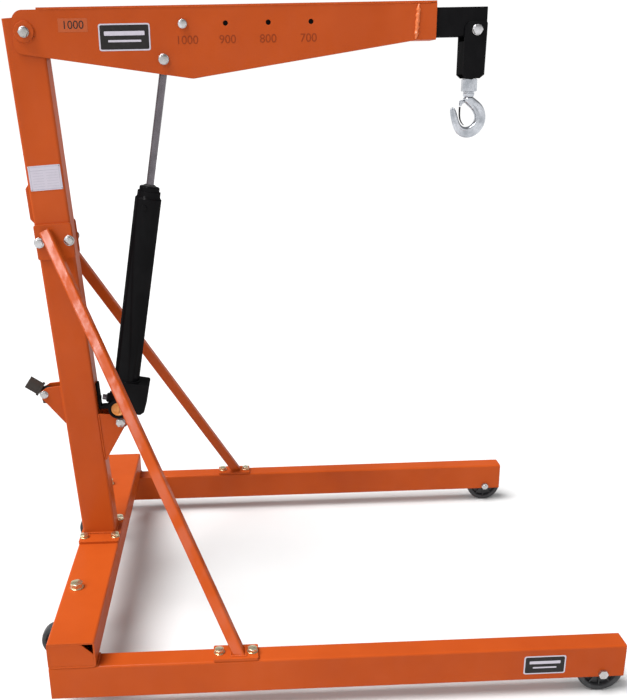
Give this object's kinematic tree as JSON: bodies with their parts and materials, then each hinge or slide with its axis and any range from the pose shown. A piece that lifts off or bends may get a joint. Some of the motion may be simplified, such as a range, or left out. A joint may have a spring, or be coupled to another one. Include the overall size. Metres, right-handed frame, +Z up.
{
  "type": "engine hoist crane",
  "caption": "Fixed-leg workshop hoist crane with a leaning mast, hand-pumped long-ram jack and tapered boom with sliding extension and hook.",
  "frame": {"origin": "centre of the bounding box on the floor", "axes": "+X forward along the legs, +Y to the left, +Z up"},
  "size_m": [1.3652, 1.014, 1.46],
  "materials": {
    "orange_paint": "satin",
    "black_paint": "satin",
    "zinc_plate": "satin",
    "ground_rod": "polished",
    "forged_steel": "satin",
    "wheel_polymer": "matte",
    "amber_cap": "gloss",
    "label_film": "satin"
  },
  "bodies": {
    "frame": {"leg_right": "orange_paint", "leg_left": "orange_paint", "cross_base": "orange_paint", "cross_base_end_plates": "orange_paint", "mast_base_plate": "orange_paint", "mast_base_bolts": "zinc_plate", "mast": "orange_paint", "brace_mast_plate_right": "orange_paint", "brace_mast_plate_left": "orange_paint", "brace_right": "orange_paint", "brace_left": "orange_paint", "brace_foot_plate_right": "orange_paint", "brace_foot_plate_left": "orange_paint", "brace_mast_bolts": "zinc_plate", "brace_foot_bolts": "zinc_plate", "mast_rear_pad": "orange_paint", "blank_data_plate": "label_film", "push_rod_guide": "black_paint", "jack_bracket_plates": "orange_paint", "jack_pivot_bolt": "zinc_plate", "handle_bracket_plates": "orange_paint", "handle_pivot_bolt": "zinc_plate", "boom_pivot_bolt": "zinc_plate", "front_axle_bolts": "zinc_plate", "caster_stem_bolts": "zinc_plate"},
    "boom": {"boom_side_plate_right": "orange_paint", "boom_side_plate_left": "orange_paint", "boom_top_plate": "orange_paint", "boom_bottom_plates": "orange_paint", "boom_end_sleeve": "orange_paint", "boom_pivot_bosses": "orange_paint", "jack_top_bolt": "zinc_plate", "extension_lock_bolt": "zinc_plate"},
    "extension": {"boom_extension": "black_paint", "hanger_bolt": "zinc_plate"},
    "hanger": {"hook_hanger": "black_paint"},
    "hook": {"hook_swivel_nut": "forged_steel", "hook_collar": "forged_steel", "hook": "forged_steel"},
    "latch": {"hook_latch": "black_paint"},
    "jack": {"jack_cylinder": "black_paint", "jack_gland_cap": "black_paint", "jack_base_block": "black_paint", "pump_body": "black_paint", "oil_filler_plug": "black_paint"},
    "valve": {"release_valve_knob": "amber_cap"},
    "ram": {"piston_rod": "ground_rod", "ram_piston": "ground_rod", "rod_eye": "black_paint"},
    "plunger": {"pump_plunger": "ground_rod"},
    "push_rod": {"push_rod": "black_paint"},
    "handle": {"handle_socket": "black_paint"},
    "front_wheel_right": {"front_wheel_right": "wheel_polymer"},
    "front_wheel_left": {"front_wheel_left": "wheel_polymer"},
    "caster_right": {"caster_fork_right": "zinc_plate", "caster_axle_right": "zinc_plate"},
    "caster_left": {"caster_fork_left": "zinc_plate", "caster_axle_left": "zinc_plate"},
    "caster_wheel_right": {"caster_wheel_right": "wheel_polymer"},
    "caster_wheel_left": {"caster_wheel_left": "wheel_polymer"}
  },
  "joints": [
    {"name": "boom_lift", "type": "hinge", "parent": "frame", "child": "boom", "pos_m": [-0.58985, 0, 1.411], "axis": [0, -1, 0], "range_deg": [-30, 12]},
    {"name": "jack_tilt", "type": "hinge", "parent": "frame", "child": "jack", "pos_m": [-0.44735, 0, 0.497], "axis": [0, 1, 0], "range_deg": [-2.3, 0.95]},
    {"name": "ram_slide", "type": "slide", "parent": "jack", "child": "ram", "axis": [0.1795, 0, 0.9838], "range_m": [-0.1535, 0.0615]},
    {"name": "extension_slide", "type": "slide", "parent": "boom", "child": "extension", "axis": [1, 0, 0], "range_m": [0, 0.2805]},
    {"name": "hanger_swing", "type": "hinge", "parent": "extension", "child": "hanger", "pos_m": [0.40165, 0, 1.399], "axis": [0, 1, 0], "range_deg": [-30, 15]},
    {"name": "hook_swivel", "type": "hinge", "parent": "hanger", "child": "hook", "pos_m": [0.39765, 0, 1.283], "axis": [0, 0, 1], "continuous": true},
    {"name": "latch_hinge", "type": "hinge", "parent": "hook", "child": "latch", "pos_m": [0.38115, 0, 1.2465], "axis": [0, -1, 0], "range_deg": [0, 20], "stiffness_Nm_per_rad": 0.02, "springref_deg": -17.19},
    {"name": "handle_pump", "type": "hinge", "parent": "frame", "child": "handle", "pos_m": [-0.63235, 0, 0.573], "axis": [0, -1, 0], "range_deg": [0, 35]},
    {"name": "push_rod_slide", "type": "slide", "parent": "frame", "child": "push_rod", "axis": [1, 0, 0], "range_m": [0, 0.0125]},
    {"name": "plunger_slide", "type": "slide", "parent": "jack", "child": "plunger", "axis": [0.9838, 0, -0.1795], "range_m": [0, 0.0125]},
    {"name": "release_valve", "type": "hinge", "parent": "jack", "child": "valve", "pos_m": [-0.44938, 0, 0.536], "axis": [0, -1, 0], "range_deg": [0, 180]},
    {"name": "front_wheel_right_spin", "type": "hinge", "parent": "frame", "child": "front_wheel_right", "pos_m": [0.63065, -0.475, 0.052], "axis": [0, 1, 0], "continuous": true},
    {"name": "front_wheel_left_spin", "type": "hinge", "parent": "frame", "child": "front_wheel_left", "pos_m": [0.63065, 0.475, 0.052], "axis": [0, 1, 0], "continuous": true},
    {"name": "caster_right_swivel", "type": "hinge", "parent": "frame", "child": "caster_right", "pos_m": [-0.54235, -0.28, 0.11], "axis": [0, 0, 1], "continuous": true},
    {"name": "caster_wheel_right_spin", "type": "hinge", "parent": "caster_right", "child": "caster_wheel_right", "pos_m": [-0.59235, -0.28, 0.044], "axis": [0, 1, 0], "continuous": true},
    {"name": "caster_left_swivel", "type": "hinge", "parent": "frame", "child": "caster_left", "pos_m": [-0.54235, 0.28, 0.11], "axis": [0, 0, 1], "continuous": true},
    {"name": "caster_wheel_left_spin", "type": "hinge", "parent": "caster_left", "child": "caster_wheel_left", "pos_m": [-0.59235, 0.28, 0.044], "axis": [0, 1, 0], "continuous": true}
  ],
  "couplings": [
    {"joint": "jack_tilt", "follows": "boom_lift", "ratio": 0.075},
    {"joint": "ram_slide", "follows": "boom_lift", "m_per_rad": 0.2922},
    {"joint": "push_rod_slide", "follows": "handle_pump", "m_per_rad": 0.0203},
    {"joint": "plunger_slide", "follows": "handle_pump", "m_per_rad": 0.0203}
  ]
}
